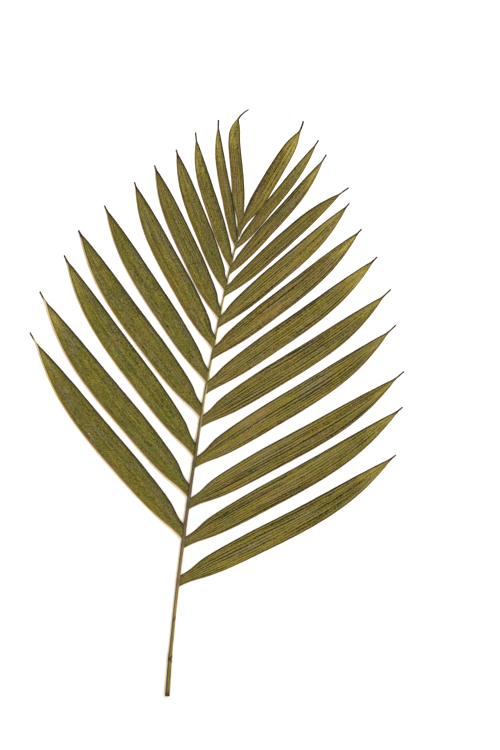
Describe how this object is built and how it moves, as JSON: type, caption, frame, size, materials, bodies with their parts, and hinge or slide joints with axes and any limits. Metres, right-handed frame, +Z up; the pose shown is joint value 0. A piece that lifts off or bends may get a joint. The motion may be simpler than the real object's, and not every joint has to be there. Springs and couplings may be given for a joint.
{
  "type": "pinnate palm frond",
  "caption": "Dried feather-shaped palm frond, cut and lying flat: a thin stem with two rows of pleated, pointed leaflets.",
  "frame": {"origin": "on the surface it lies on, under the middle of the frond's outline", "axes": "+Y along the frond from the cut end of its stem to its tip, +Z up from the surface it lies on, +X to the right of the stem seen from above"},
  "size_m": [0.305, 0.474, 0.0035],
  "materials": {
    "dried_leaf": "dry, matt olive green leaf with fine lengthwise fibres"
  },
  "bodies": {
    "root": {"palm_frond": "dried_leaf"}
  },
  "joints": []
}
